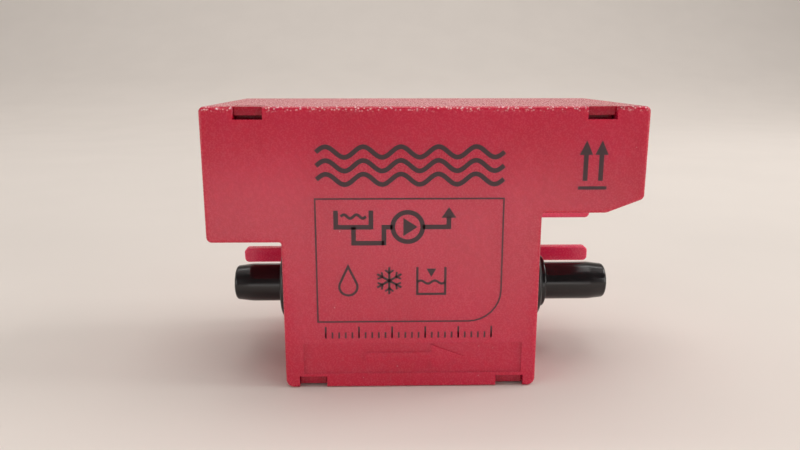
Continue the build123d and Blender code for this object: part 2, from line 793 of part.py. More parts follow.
def all_parts():
    """Every node by its name."""
    ball_x = ball_centre_x()
    seat_x = CYLINDER_X[1]
    cylinder_x = CYLINDER_X[0]
    poppet_front = PLUNGER_X[1] + VALVE_GAP + SUCTION_DISC
    coil_x0 = YOKE_X[0] + YOKE_THICK + BOBBIN_FLANGE
    coil_x1 = YOKE_X[1] - YOKE_THICK - BOBBIN_FLANGE
    return {
        "front_cover": front_cover(),
        "rear_housing": rear_housing(),
        "inlet_spigot": inlet_spigot(),
        "outlet_spigot": outlet_spigot(),
        "inlet_damper": damper(-1, INLET_DAMPER_X, LEG_LEFT),
        "outlet_damper": damper(1, OUTLET_DAMPER_X, LEG_RIGHT),
        "pump_tube": ring(*TUBE_X, *TUBE_R),
        "armature": armature(),
        "plunger": ring(*PLUNGER_X, PLUNGER_BORE_R, PLUNGER_R),
        "buffer_spring": coil_spring(INLET_PLUG_X, ARMATURE_X[0], BUFFER_SPRING),
        "main_spring": coil_spring(ARMATURE_X[1], cylinder_x, MAIN_SPRING),
        "pump_cylinder": pump_cylinder(),
        "plunger_seal": ring(cylinder_x, cylinder_x + SEAL_THICK, CYLINDER_BORE_R, SEAL_R),
        "suction_valve": suction_valve(),
        "suction_valve_spring": coil_spring(poppet_front, seat_x, SUCTION_SPRING),
        "outlet_seat": ring(seat_x, seat_x + SEAT_THICK, SEAT_HOLE_R, CYLINDER_R),
        "outlet_ball": Pos(ball_x, 0, AXIS_Z) * Sphere(BALL_R),
        "outlet_valve_spring": coil_spring(ball_x + BALL_R, THROAT_X[0], OUTLET_SPRING),
        "inlet_o_ring": o_ring(-1),
        "outlet_o_ring": o_ring(1),
        "coil_bobbin": coil_bobbin(),
        "coil_winding": ring(coil_x0, coil_x1, BOBBIN_R[1], WINDING_R),
        "coil_terminals": coil_terminals(),
        "coil_leads": coil_leads(),
        "yoke": yoke(),
        "inlet_pole_sleeve": pole_sleeve(YOKE_X[0] - SLEEVE_FLANGE, GAP_X[0]),
        "outlet_pole_sleeve": pole_sleeve(YOKE_X[1] + SLEEVE_FLANGE, GAP_X[1]),
        "gap_spacer": ring(*GAP_X, *SLEEVE_R),
        "thermal_cutout": thermal_cutout(),
        "cutout_leads": cutout_leads(),
        "circuit_board": circuit_board(),
        "board_screws": board_screws(),
        "relay": on_board(*RELAY),
        "film_capacitor": on_board(*FILM_CAPACITOR),
        "electrolytic_capacitor": electrolytic_capacitor(),
        "varistor": varistor(),
        "triac": triac(),
        "fuse": axial_part(*FUSE_X, FUSE_Z, FUSE_R, FUSE_STAND_OFF),
        "controller_chip": on_board(*CONTROLLER_CHIP),
        "resistors": resistors(),
        "supply_socket": socket(-1, SUPPLY_SOCKET_Z, SUPPLY_HALF_Z, SUPPLY_PINS),
        "supply_contacts": contacts(-1, SUPPLY_SOCKET_Z, SUPPLY_PINS),
        "sensor_socket": socket(1, SENSOR_SOCKET_Z, SENSOR_HALF_Z, SENSOR_PINS),
        "sensor_contacts": contacts(1, SENSOR_SOCKET_Z, SENSOR_PINS),
    }


def main():
    os.makedirs(ROOT, exist_ok=True)
    for name, solid in all_parts().items():
        export_step(solid, f"{ROOT}/{name}.step")


main()
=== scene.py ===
import math

import bmesh
import bpy
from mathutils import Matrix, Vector

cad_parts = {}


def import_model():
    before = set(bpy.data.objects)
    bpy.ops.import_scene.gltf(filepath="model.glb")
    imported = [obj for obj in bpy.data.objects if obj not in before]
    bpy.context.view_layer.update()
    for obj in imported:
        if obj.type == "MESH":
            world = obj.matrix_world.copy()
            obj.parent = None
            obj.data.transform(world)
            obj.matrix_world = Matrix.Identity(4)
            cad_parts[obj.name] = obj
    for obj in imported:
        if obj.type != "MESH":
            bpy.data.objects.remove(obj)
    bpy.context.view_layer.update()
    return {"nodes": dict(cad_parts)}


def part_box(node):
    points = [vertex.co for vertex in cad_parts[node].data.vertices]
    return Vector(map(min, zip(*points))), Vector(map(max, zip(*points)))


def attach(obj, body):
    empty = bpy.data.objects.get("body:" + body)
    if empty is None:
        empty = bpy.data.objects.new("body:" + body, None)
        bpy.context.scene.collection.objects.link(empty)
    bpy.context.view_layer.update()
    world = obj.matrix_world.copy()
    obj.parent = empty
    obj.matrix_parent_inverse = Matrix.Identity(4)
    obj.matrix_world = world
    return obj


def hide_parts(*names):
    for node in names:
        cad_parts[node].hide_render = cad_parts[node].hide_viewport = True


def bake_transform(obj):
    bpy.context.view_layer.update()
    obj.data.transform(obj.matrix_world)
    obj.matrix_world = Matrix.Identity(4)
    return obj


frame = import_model()

bl_info = {
    "name": "Condensate pump",
    "version": (1, 0, 0),
    "blender": (4, 5, 0),
    "location": "3D Viewport > Sidebar > Pump",
    "description": "Finishes the condensate pump: housing, hose spigots, print, sockets and inner parts",
    "category": "Add Mesh",
}

# Metres, in the frame's own axes: +X from the inlet to the outlet, +Y to the back, +Z up.
MM = 0.001
FRONT_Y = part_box("front_cover")[0].y
TOP_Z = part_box("front_cover")[1].z
AXIS_Z = sum(corner.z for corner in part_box("pump_tube")) / 2
ARC_STEPS = 8
MERGE = 1e-6
NODES = frame["nodes"]


# ---- small helpers ----
def linear(code):
    """An opaque linear colour from an sRGB hex value."""
    channels = [int(code[i:i + 2], 16) / 255 for i in (1, 3, 5)]
    straight = [c / 12.92 if c <= 0.04045 else ((c + 0.055) / 1.055) ** 2.4 for c in channels]
    return (*straight, 1.0)


def per_mm(size):
    """The texture scale of a pattern whose grain measures so many millimetres."""
    return 1 / (size * MM)


def add_node(tree, kind, inputs=None, **settings):
    """Add one node with its settings, and give each input a value or a link."""
    node = tree.nodes.new(kind)
    for key, value in settings.items():
        setattr(node, key, value)
    for key, value in (inputs or {}).items():
        if isinstance(value, bpy.types.NodeSocket):
            tree.links.new(value, node.inputs[key])
        else:
            node.inputs[key].default_value = value
    return node


def link_mesh(name, mesh):
    """A new object at the origin that shows a mesh."""
    piece = bpy.data.objects.new(name, mesh)
    bpy.context.scene.collection.objects.link(piece)
    return piece


def evaluated(source, name):
    """A plain object with the result of another's modifiers; the other is removed."""
    bpy.context.view_layer.update()
    graph = bpy.context.evaluated_depsgraph_get()
    mesh = bpy.data.meshes.new_from_object(source.evaluated_get(graph))
    bpy.data.objects.remove(source)
    mesh.name = name
    return link_mesh(name, mesh)


def close_mesh(mesh):
    """Merge doubles and turn every face outwards."""
    bm = bmesh.new()
    bm.from_mesh(mesh)
    bmesh.ops.remove_doubles(bm, verts=bm.verts, dist=0.1 * MERGE)
    bmesh.ops.recalc_face_normals(bm, faces=bm.faces)
    bm.to_mesh(mesh)
    bm.free()


def weigh_normals(piece):
    """Keep large flat faces flat to the eye beside small roundings."""
    modifier = piece.modifiers.new("normals", "WEIGHTED_NORMAL")
    modifier.weight = 100
    modifier.keep_sharp = True
    return evaluated(piece, piece.name)


def shade(piece, material, sharp_degrees=35):
    """Give a piece its one material, and smooth shading up to an angle."""
    piece.data.materials.clear()
    piece.data.materials.append(material)
    piece.data.shade_smooth()
    piece.data.set_sharp_from_angle(angle=math.radians(sharp_degrees))


def keep(piece, slot, *nodes):
    """Let a piece ride on the housing and stand for its CAD nodes, which are hidden; its slot is not used."""
    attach(piece, "housing")
    if nodes:
        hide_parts(*nodes)


def dress(material, *names):
    """Give CAD nodes a material."""
    for name in names:
        mesh = NODES[name].data
        mesh.materials.clear()
        mesh.materials.append(material)


def arc_corner(before, corner, after, radius):
    """The arc that rounds one corner of a flat outline."""
    corner = Vector(corner)
    back, ahead = Vector(before) - corner, Vector(after) - corner
    half = back.angle(ahead) / 2
    reach = min(radius / math.tan(half), 0.48 * min(back.length, ahead.length))
    if reach < 1e-7:
        return [corner]
    start = corner + back.normalized() * reach
    end = corner + ahead.normalized() * reach
    arc_radius = reach * math.tan(half)
    centre = corner + (back.normalized() + ahead.normalized()).normalized() * (arc_radius / math.sin(half))
    first = start - centre
    turn = first.angle_signed(end - centre)
    points = []
    for step in range(ARC_STEPS + 1):
        angle = -turn * step / ARC_STEPS
        cos, sin = math.cos(angle), math.sin(angle)
        points.append(centre + Vector((first.x * cos - first.y * sin, first.x * sin + first.y * cos)))
    return points


def rounded_outline(corners):
    """The points of a closed flat outline from its (across, up, radius) corners."""
    points = []
    for i, (u, v, radius) in enumerate(corners):
        before = corners[i - 1][:2]
        after = corners[(i + 1) % len(corners)][:2]
        points += arc_corner(before, (u, v), after, radius)
    return points


# ---- materials ----
def new_material(name):
    """An empty node material and its tree."""
    material = bpy.data.materials.new(name)
    material.use_nodes = True
    material.node_tree.nodes.clear()
    return material, material.node_tree


def surface(tree, inputs):
    """The material's Principled shader and its output."""
    shader = add_node(tree, "ShaderNodeBsdfPrincipled", inputs)
    add_node(tree, "ShaderNodeOutputMaterial", {"Surface": shader.outputs["BSDF"]})


def place(tree, stretch=(1, 1, 1)):
    """Object coordinates, stretched by a factor on each axis."""
    spot = add_node(tree, "ShaderNodeTexCoord").outputs["Object"]
    return add_node(tree, "ShaderNodeMapping", {"Vector": spot, "Scale": stretch}).outputs["Vector"]


def noise(tree, grain_mm, detail=2.0, stretch=(1, 1, 1)):
    """Noise with a grain of so many millimetres."""
    inputs = {"Vector": place(tree, stretch), "Scale": per_mm(grain_mm), "Detail": detail}
    return add_node(tree, "ShaderNodeTexNoise", inputs).outputs["Fac"]


def spread(tree, value, low, high, start=0.35, end=0.65):
    """Map a value between start and end to low to high."""
    inputs = {"Value": value, "From Min": start, "From Max": end, "To Min": low, "To Max": high}
    return add_node(tree, "ShaderNodeMapRange", inputs).outputs["Result"]


def blend(tree, factor, first, second):
    """A colour between two colours."""
    inputs = {0: factor, 6: first, 7: second}
    return add_node(tree, "ShaderNodeMix", inputs, data_type="RGBA").outputs[2]


def bump(tree, height, depth_mm, below=None):
    """A bump of so many millimetres, over another one where given."""
    inputs = {"Height": height, "Distance": depth_mm * MM}
    if below is not None:
        inputs["Normal"] = below
    return add_node(tree, "ShaderNodeBump", inputs).outputs["Normal"]


def multiply(tree, first, second):
    """The product of two values."""
    return add_node(tree, "ShaderNodeMath", {0: first, 1: second}, operation="MULTIPLY").outputs["Value"]


def flecks(tree, cell_mm, radius_mm, share):
    """A mask of round flecks in a share of the cells of a random grid."""
    inputs = {"Vector": place(tree), "Scale": per_mm(cell_mm)}
    cells = add_node(tree, "ShaderNodeTexVoronoi", inputs)
    radius = radius_mm / cell_mm
    dot = spread(tree, cells.outputs["Distance"], 1, 0, 0.6 * radius, radius)
    hue = add_node(tree, "ShaderNodeSeparateColor", {"Color": cells.outputs["Color"]}).outputs["Red"]
    chosen = add_node(tree, "ShaderNodeMath", {0: hue, 1: share}, operation="LESS_THAN")
    return multiply(tree, dot, chosen.outputs["Value"])


def moulding(name, colours, roughness, grain_mm, depth_mm, ior=1.5):
    """A moulded plastic: two close colours in clouds, and an eroded grain of a given size."""
    material, tree = new_material(name)
    clouds = spread(tree, noise(tree, 8 * grain_mm, 3), 0, 1)
    grain = noise(tree, grain_mm)
    surface(tree, {
        "Base Color": blend(tree, clouds, linear(colours[0]), linear(colours[1])),
        "Roughness": spread(tree, grain, *roughness),
        "IOR": ior,
        "Normal": bump(tree, grain, depth_mm),
    })
    return material


def metal(name, colours, roughness, grain_mm, stretch, depth_mm=0.002):
    """A bare metal: two close colours and a gloss that changes along its working lines."""
    material, tree = new_material(name)
    lines = noise(tree, grain_mm, 3, stretch)
    surface(tree, {
        "Base Color": blend(tree, spread(tree, lines, 0, 1), linear(colours[0]), linear(colours[1])),
        "Metallic": 1.0,
        "Roughness": spread(tree, lines, *roughness),
        "Normal": bump(tree, lines, depth_mm),
    })
    return material


def painted_edge_highlights(tree):
    """A mask of pale specks along the top front edge: a painted highlight on its rounding."""
    axes = add_node(tree, "ShaderNodeSeparateXYZ", {"Vector": place(tree)}).outputs
    high = spread(tree, axes["Z"], 0, 1, TOP_Z - 1.1 * MM, TOP_Z - 0.4 * MM)
    ahead = spread(tree, axes["Y"], 1, 0, FRONT_Y + 0.5 * MM, FRONT_Y + 1.0 * MM)
    return multiply(tree, multiply(tree, high, ahead), flecks(tree, 0.42, 0.20, 0.70))


def painted_light_and_shade_masks(tree):
    """Masks of the ears, painted brighter for light under the arms, and of the catches, painted darker for
    their windows' shade.
    """
    axes = add_node(tree, "ShaderNodeSeparateXYZ", {"Vector": place(tree)}).outputs
    side = add_node(tree, "ShaderNodeMath", {0: axes["X"]}, operation="ABSOLUTE").outputs["Value"]
    beside = spread(tree, side, 0, 1, 26.2 * MM, 27.2 * MM)
    under = spread(tree, axes["Z"], 1, 0, 27.5 * MM, 28.5 * MM)
    return multiply(tree, beside, under), spread(tree, axes["Y"], 1, 0, -9 * MM, -8 * MM)


def grained_red(tree):
    """The shells' clouded red with the grain's brighter tops, and the mask of those tops."""
    colours = bpy.context.scene.pump_housing
    cloud = spread(tree, noise(tree, 16, 3), 0, 1)
    grit = spread(tree, noise(tree, 0.30), 0, 1)
    base = blend(tree, cloud, (*colours.skin, 1), (*colours.skin_light, 1))
    top = blend(tree, 0.94, (*colours.grit, 1), base)
    return blend(tree, grit, base, top), grit


def abs_skin(tree, colour, grit, pebble_mm):
    """The shells' surface: satin, pebbled, and lit a little way into the plastic."""
    pebbles = bump(tree, noise(tree, 0.45), pebble_mm)
    surface(tree, {
        "Base Color": colour,
        "Roughness": spread(tree, grit, 0.23, 0.30, 0, 1),
        "IOR": 1.54,
        "Subsurface Weight": 0.4,
        "Subsurface Radius": (1.0, 0.10, 0.20),
        "Subsurface Scale": 2.2 * MM,
        "Normal": bump(tree, noise(tree, 0.22), 0.003, pebbles),
    })


def eroded_abs():
    """ABS moulded against a spark-eroded tool: dull red, with a pebbled grain and tiny painted highlights
    along the top front edge.

    The real grain is about 0.1 mm; it is drawn at 0.3 mm so that it shows. A few pale dust
    flecks cling to it.
    """
    material, tree = new_material("spark_eroded_abs")
    grained, grit = grained_red(tree)
    dusty = blend(tree, flecks(tree, 1.3, 0.11, 0.07), grained, linear("#E9C4C2"))
    # Painted highlight: pale specks along the top front edge stand in for light caught by its rounding.
    abs_skin(tree, blend(tree, painted_edge_highlights(tree), dusty, linear("#F3C9CB")), grit, 0.007)
    return material


def rear_abs():
    """The rear shell's ABS: the same eroded grain, with painted light on its ears and painted shade on its
    catches.

    The ears' red is painted brighter and clearer for light under the arms; the catches, deep in their
    windows, are painted darker for the shade there.
    """
    colours = bpy.context.scene.pump_housing
    material, tree = new_material("rear_shell_abs")
    ears, catches = painted_light_and_shade_masks(tree)
    grained, grit = grained_red(tree)
    # Painted shade: the catches get a darker red for the shade in their windows.
    deep = blend(tree, catches, grained, (*colours.deep, 1))
    # Painted light: the ears get a brighter red for light that reaches them under the arms.
    abs_skin(tree, blend(tree, ears, deep, (*colours.clear, 1)), grit, 0.006)
    return material


def polished_polyamide():
    """Black polyamide moulded in a polished tool: deep gloss, with faint sink and handling haze."""
    colours = bpy.context.scene.pump_spigots
    material, tree = new_material("polished_black_polyamide")
    haze = noise(tree, 2.5, 3, (0.35, 1, 1))
    surface(tree, {
        "Base Color": blend(tree, spread(tree, haze, 0, 1), (*colours.black, 1), linear("#1C1719")),
        "Roughness": spread(tree, haze, 0.13, 0.22),
        "IOR": 1.53,
        "Normal": bump(tree, noise(tree, 1.6, 1), 0.006),
    })
    return material


def moulded_rubber():
    """Black EPDM rubber, compression moulded: a soft sheen with a bloomed, slightly grey skin."""
    material, tree = new_material("moulded_epdm_rubber")
    bloom = noise(tree, 1.8, 4)
    surface(tree, {
        "Base Color": blend(tree, spread(tree, bloom, 0, 1), linear("#131112"), linear("#211E1F")),
        "Roughness": spread(tree, bloom, 0.26, 0.40),
        "IOR": 1.52,
        "Normal": bump(tree, noise(tree, 0.35), 0.004),
    })
    return material


def pad_ink():
    """Pad-printed ink: flat brown-black, thinner where the grain's pits took less of it."""
    material, tree = new_material("pad_printed_ink")
    thin = spread(tree, noise(tree, 0.25), 0, 0.35)
    surface(tree, {
        "Base Color": blend(tree, thin, (*bpy.context.scene.pump_print.ink, 1), linear("#5E262E")),
        "Roughness": 0.5,
        "IOR": 1.5,
        "Normal": bump(tree, noise(tree, 0.45), 0.010),
    })
    return material


def natural_nylon():
    """Unfilled polyamide, injection moulded: milky ivory that light enters a little, satin."""
    material, tree = new_material("natural_polyamide")
    flow = noise(tree, 3, 3, (0.3, 1, 1))
    surface(tree, {
        "Base Color": blend(tree, spread(tree, flow, 0, 1), linear("#E4DEC9"), linear("#D8D0B6")),
        "Roughness": spread(tree, flow, 0.30, 0.42),
        "IOR": 1.53,
        "Subsurface Weight": 0.25,
        "Subsurface Scale": 0.8 * MM,
        "Normal": bump(tree, noise(tree, 0.6), 0.003),
    })
    return material


def filled_polyamide():
    """Glass-filled polyamide, moulded: off-white, its fibres seen as fine dull streaks."""
    material, tree = new_material("glass_filled_polyamide")
    fibres = noise(tree, 0.35, 2, (0.2, 1, 1))
    surface(tree, {
        "Base Color": blend(tree, spread(tree, fibres, 0, 1), linear("#DDD8C8"), linear("#C9C3B0")),
        "Roughness": spread(tree, fibres, 0.42, 0.60),
        "IOR": 1.54,
        "Normal": bump(tree, fibres, 0.005),
    })
    return material


def plated_steel():
    """Low-carbon steel, stamped or turned and zinc plated: cool silver with a faint bloom."""
    return metal("zinc_plated_steel", ("#BCC0C2", "#A3A7A6"), (0.24, 0.40), 2.2, (1, 1, 1))


def drawn_stainless():
    """Stainless tube, drawn along X and ground: bright, with lines along its length."""
    return metal("drawn_stainless_steel", ("#CFCFCD", "#B4B4B2"), (0.14, 0.26), 0.25, (0.08, 1, 1))


def spring_wire():
    """Patented spring wire, hard drawn: darker grey with a slight gloss from the die."""
    return metal("hard_drawn_spring_wire", ("#9C9D9E", "#818284"), (0.22, 0.34), 0.3, (1, 1, 1))


def tinned_brass():
    """Brass strip, stamped and tin plated: soft warm silver, dulled by handling."""
    return metal("tin_plated_brass", ("#C9C4BA", "#B3ADA0"), (0.28, 0.42), 0.8, (0.5, 1, 1))


def drawn_aluminium():
    """Aluminium can, deep drawn: pale, with fine upright drawing marks."""
    return metal("deep_drawn_aluminium", ("#C6C8CA", "#B0B2B4"), (0.30, 0.44), 0.4, (1, 1, 0.1))


def enamelled_copper():
    """Copper wire under clear enamel: red-gold metal below a glossy amber skin."""
    material, tree = new_material("enamelled_copper_wire")
    amber = noise(tree, 1.5, 3, (0.4, 1, 1))
    surface(tree, {
        "Base Color": blend(tree, spread(tree, amber, 0, 1), linear("#B4602F"), linear("#8E4220")),
        "Metallic": 1.0,
        "Roughness": spread(tree, amber, 0.22, 0.34),
        "Coat Weight": 0.8,
        "Coat Roughness": 0.12,
        "Normal": bump(tree, amber, 0.003),
    })
    return material


def nitrile_rubber():
    """Nitrile rubber seals, compression moulded: dull black with a dusting of talc."""
    return moulding("moulded_nitrile_rubber", ("#151515", "#262626"), (0.46, 0.62), 0.30, 0.005)


def pvc_insulation():
    """Extruded PVC on stranded leads: creamy white with a smooth, waxy gloss."""
    return moulding("extruded_pvc", ("#E2DDD0", "#D5CFC0"), (0.28, 0.38), 0.50, 0.002, 1.54)


def socket_polyamide():
    """Flame-retardant polyamide 66 of the sockets, moulded: black, with a fine eroded grain."""
    return moulding("moulded_polyamide_66", ("#141314", "#1F1D1E"), (0.34, 0.46), 0.28, 0.006, 1.53)


def relay_polyester():
    """Glass-filled PBT relay case: even dark blue, slightly silky."""
    return moulding("moulded_pbt", ("#10326E", "#173C7C"), (0.30, 0.42), 0.30, 0.003)


def capacitor_polypropylene():
    """Moulded box of a film capacitor: mustard yellow with a plain satin face."""
    return moulding("moulded_polypropylene", ("#C9952B", "#BB861F"), (0.36, 0.48), 0.40, 0.004, 1.49)


def shrink_sleeve():
    """Shrunk PVC sleeve on the electrolytic capacitor: dark blue, tight and glossy."""
    return moulding("shrunk_pvc_sleeve", ("#16203A", "#1D2947"), (0.18, 0.28), 0.80, 0.004, 1.54)


def dipped_epoxy():
    """Epoxy dip coat on the varistor: bright blue, pooled and wavy like set paint."""
    return moulding("dipped_epoxy", ("#1C4E98", "#245CAA"), (0.16, 0.28), 1.20, 0.020)


def moulded_epoxy():
    """Transfer-moulded epoxy round a chip: charcoal, with a fine matt grain."""
    return moulding("transfer_moulded_epoxy", ("#1B1B1C", "#28282A"), (0.48, 0.60), 0.22, 0.004)


def fuse_ceramic():
    """Fired steatite tube of the fuse: pale sand, smooth and lightly glazed."""
    return moulding("fired_steatite", ("#D6CDB6", "#C8BEA5"), (0.22, 0.36), 0.40, 0.003, 1.58)


def resistor_lacquer():
    """Lacquered film resistors: pale blue, with rings of darker lacquer round the body."""
    material, tree = new_material("resistor_lacquer")
    inputs = {"Vector": place(tree), "Scale": per_mm(6.3)}
    rings = add_node(tree, "ShaderNodeTexWave", inputs, wave_type="BANDS", bands_direction="X")
    dark = spread(tree, rings.outputs["Fac"], 0, 1, 0.80, 0.90)
    surface(tree, {
        "Base Color": blend(tree, dark, linear("#8FB3C8"), linear("#5A3A2A")),
        "Roughness": spread(tree, noise(tree, 0.5), 0.20, 0.32),
        "IOR": 1.5,
        "Normal": bump(tree, noise(tree, 0.5), 0.004),
    })
    return material


def solder_mask():
    """Glass-epoxy board under solder mask: dark green, paler where copper lies beneath it."""
    material, tree = new_material("solder_masked_glass_epoxy")
    inputs = {"Vector": place(tree), "Scale": per_mm(4.0)}
    cells = add_node(tree, "ShaderNodeTexVoronoi", inputs, distance="MANHATTAN")
    tracks = spread(tree, cells.outputs["Distance"], 0, 1, 0.30, 0.34)
    weave = noise(tree, 0.25, 1)
    surface(tree, {
        "Base Color": blend(tree, tracks, linear("#1E5A33"), linear("#12381F")),
        "Roughness": spread(tree, weave, 0.24, 0.34),
        "IOR": 1.55,
        "Normal": bump(tree, weave, 0.003, bump(tree, tracks, 0.030)),
    })
    return material


def stage_card():
    """Matt coated card, rolled into a sweep: warm pale grey and almost without sheen."""
    material, tree = new_material("matt_coated_card")
    tone = spread(tree, noise(tree, 60, 2), 0, 1)
    colour = bpy.context.scene.pump_stage.floor
    surface(tree, {
        "Base Color": blend(tree, tone, (*colour, 1), (*[0.98 * c for c in colour], 1)),
        "Roughness": 0.75,
        "Specular IOR Level": 0.25,
    })
    return material


# ---- geometry node trees ----
def new_geometry_tree(name, sockets):
    """A geometry node tree with named inputs; returns it, its input node and its identifiers."""
    tree = bpy.data.node_groups.new(name, "GeometryNodeTree")
    tree.interface.new_socket("Geometry", in_out="INPUT", socket_type="NodeSocketGeometry")
    tree.interface.new_socket("Geometry", in_out="OUTPUT", socket_type="NodeSocketGeometry")
    names = {}
    for label, kind in sockets.items():
        names[label] = tree.interface.new_socket(label, in_out="INPUT", socket_type=kind).identifier
    return tree, add_node(tree, "NodeGroupInput"), names


def close_tree(tree, geometry, material):
    """End a tree in Realize Instances and Set Material."""
    real = add_node(tree, "GeometryNodeRealizeInstances", {"Geometry": geometry})
    inputs = {"Geometry": real.outputs["Geometry"], "Material": material}
    painted = add_node(tree, "GeometryNodeSetMaterial", inputs)
    add_node(tree, "NodeGroupOutput", {"Geometry": painted.outputs["Geometry"]})


def run_tree(tree, names, name, source, values):
    """Apply a tree to a source mesh with the given input values."""
    carrier = link_mesh(name + "_source", source)
    modifier = carrier.modifiers.new(tree.name, "NODES")
    modifier.node_group = tree
    for label, value in values.items():
        modifier[names[label]] = value
    return evaluated(carrier, name)


PATH_R = MM


def lathe_tree():
    """Turns a closed (radius - PATH_R, -X) outline about the pump's axis."""
    sockets = {
        "Segments": "NodeSocketInt",
        "Axis Height": "NodeSocketFloat",
        "Material": "NodeSocketMaterial",
    }
    tree, group, names = new_geometry_tree("turned_on_the_axis", sockets)
    outline = add_node(tree, "GeometryNodeMeshToCurve", {"Mesh": group.outputs["Geometry"]})
    inputs = {"Resolution": group.outputs["Segments"], "Radius": PATH_R}
    path = add_node(tree, "GeometryNodeCurvePrimitiveCircle", inputs)
    inputs = {"Curve": path.outputs["Curve"], "Profile Curve": outline.outputs["Curve"]}
    turned = add_node(tree, "GeometryNodeCurveToMesh", inputs)
    height = add_node(tree, "ShaderNodeCombineXYZ", {"Z": group.outputs["Axis Height"]})
    inputs = {
        "Geometry": turned.outputs["Mesh"],
        "Rotation": (0, math.pi / 2, 0),
        "Translation": height.outputs["Vector"],
    }
    moved = add_node(tree, "GeometryNodeTransform", inputs)
    close_tree(tree, moved.outputs["Geometry"], group.outputs["Material"])
    return tree, names


def lathe(name, corners, material, segments=96):
    """A turned piece from the (X, radius, rounding) corners of its closed outline."""
    outline = rounded_outline(corners)
    count = len(outline)
    mesh = bpy.data.meshes.new(name)
    edges = [(i, (i + 1) % count) for i in range(count)]
    mesh.from_pydata([(radius - PATH_R, -x, 0) for x, radius in outline], edges, [])
    tree, names = lathe_tree()
    values = {"Segments": segments, "Axis Height": AXIS_Z, "Material": material}
    piece = run_tree(tree, names, name, mesh, values)
    close_mesh(piece.data)
    shade(piece, material, 40)
    return piece


def tick_tree():
    """A row of equal printed ticks along X."""
    sockets = {
        "Count": "NodeSocketInt",
        "Pitch": "NodeSocketFloat",
        "Start": "NodeSocketVector",
        "Tick": "NodeSocketVector",
        "Material": "NodeSocketMaterial",
    }
    tree, group, names = new_geometry_tree("printed_ticks", sockets)
    step = add_node(tree, "ShaderNodeCombineXYZ", {"X": group.outputs["Pitch"]})
    inputs = {
        "Count": group.outputs["Count"],
        "Start Location": group.outputs["Start"],
        "Offset": step.outputs["Vector"],
    }
    row = add_node(tree, "GeometryNodeMeshLine", inputs)
    tick = add_node(tree, "GeometryNodeMeshCube", {"Size": group.outputs["Tick"]})
    inputs = {"Points": row.outputs["Mesh"], "Instance": tick.outputs["Mesh"]}
    ticks = add_node(tree, "GeometryNodeInstanceOnPoints", inputs)
    close_tree(tree, ticks.outputs["Instances"], group.outputs["Material"])
    return tree, names


# ---- settings ----
def length(name, description, default_mm):
    """A length property with a default in millimetres."""
    return bpy.props.FloatProperty(
        name=name, description=description, default=default_mm * MM, min=0, unit="LENGTH", precision=5
    )


def colour(name, description, code):
    """A colour property with an sRGB hex default."""
    return bpy.props.FloatVectorProperty(
        name=name, description=description, default=linear(code)[:3], subtype="COLOR", min=0, max=1
    )


class PumpHousing(bpy.types.PropertyGroup):
    """Sizes and colours of the moulded housing."""

    edge: length("Edge rounding", "Width of the small rounding on the moulded edges", 0.12)
    skin: colour("Skin", "The housing's colour", "#C01038")
    skin_light: colour("Light skin", "The housing's colour where it is a little paler", "#C6163F")
    grit: colour("Grit", "Colour of the grain's bright tops", "#E8808A")
    # Painted light: the ears' brighter red stands in for light that reaches them under the arms.
    clear: colour("Clear red", "Colour of the rear shell's polished ears", "#F03A68")
    # Painted shade: the catches' darker red stands in for the shade in their windows.
    deep: colour("Deep red", "Colour of the catches in their windows", "#A8082E")


class PumpSpigots(bpy.types.PropertyGroup):
    """Sizes and colours of the hose spigots and their dampers."""

    radius: length("Spigot radius", "Outside radius of a hose spigot", 4.0)
    bore: length("Bore radius", "Inside radius of a hose spigot", 2.4)
    tip_radius: length("Tip radius", "Radius of the tapered tip", 3.6)
    tip_length: length("Tip length", "Length of the tip's taper", 3.4)
    tip_round: length("Tip rounding", "Rounding of the tip's end edge", 0.7)
    collar: length("Collar radius", "Outside radius of the collar", 5.5)
    damper: length("Damper radius", "Outside radius of a rubber damper", 7.5)
    neck: length("Damper neck radius", "Radius of a damper in the wall's hole", 6.3)
    wall: length("Wall", "Thickness of the leg's walls", 2.0)
    black: colour("Black", "The spigots' colour", "#120F11")


class PumpPrint(bpy.types.PropertyGroup):
    """Sizes and colour of the print on the front."""

    line: length("Frame line", "Width of the printed frame's line", 0.28)
    bold: length("Bold stroke", "Width of the large figures' strokes", 0.85)
    fine: length("Fine stroke", "Width of the small figures' strokes", 0.42)
    film: length("Film", "How far the ink stands over the skin", 0.012)
    corner: length("Frame corner", "Radius of the frame's lower right corner", 6.0)
    ink: colour("Ink", "The ink's colour", "#33262A")


class PumpCoil(bpy.types.PropertyGroup):
    """Sizes of the solenoid's winding."""

    wire: length("Wire", "Diameter of the winding's wire over its enamel", 0.5)


class PumpStage(bpy.types.PropertyGroup):
    """The floor, the lights and the camera."""

    floor: colour("Floor", "The sweep's colour", "#E4DCD5")
    key: bpy.props.FloatProperty(
        name="Key light", description="Power of the right light, which the others follow", default=3.0,
        unit="POWER",
    )
    room: bpy.props.FloatProperty(name="Room light", description="Strength of the even light", default=0.73)
    lens: bpy.props.FloatProperty(
        name="Lens", description="Focal length on a 36 mm sensor", default=30.62, unit="CAMERA"
    )


# ---- the housing ----
def roomy_edges(bm, width, sharp_degrees=40):
    """Sharp edges whose neighbours are all long enough to take a rounding of this width."""
    def roomy(corner):
        return all(edge.calc_length() > 2.5 * width for edge in corner.link_edges)

    sharp = math.radians(sharp_degrees)
    return [
        edge for edge in bm.edges
        if edge.is_manifold and edge.calc_face_angle(0) > sharp and all(roomy(end) for end in edge.verts)
    ]


# The hooks' front bevel and the levels of their heads in the CAD, and the levels they get here.
HOOK_BEVEL_Y = FRONT_Y + 1.8 * MM
HOOK_BEVEL = 0.8 * MM
TOP_HEAD_Z, TOP_LEVEL_Z = TOP_Z - 0.2 * MM, TOP_Z - 0.03 * MM
BOTTOM_HEAD_Z, BOTTOM_LEVEL_Z = 0.9 * MM, 0.4 * MM


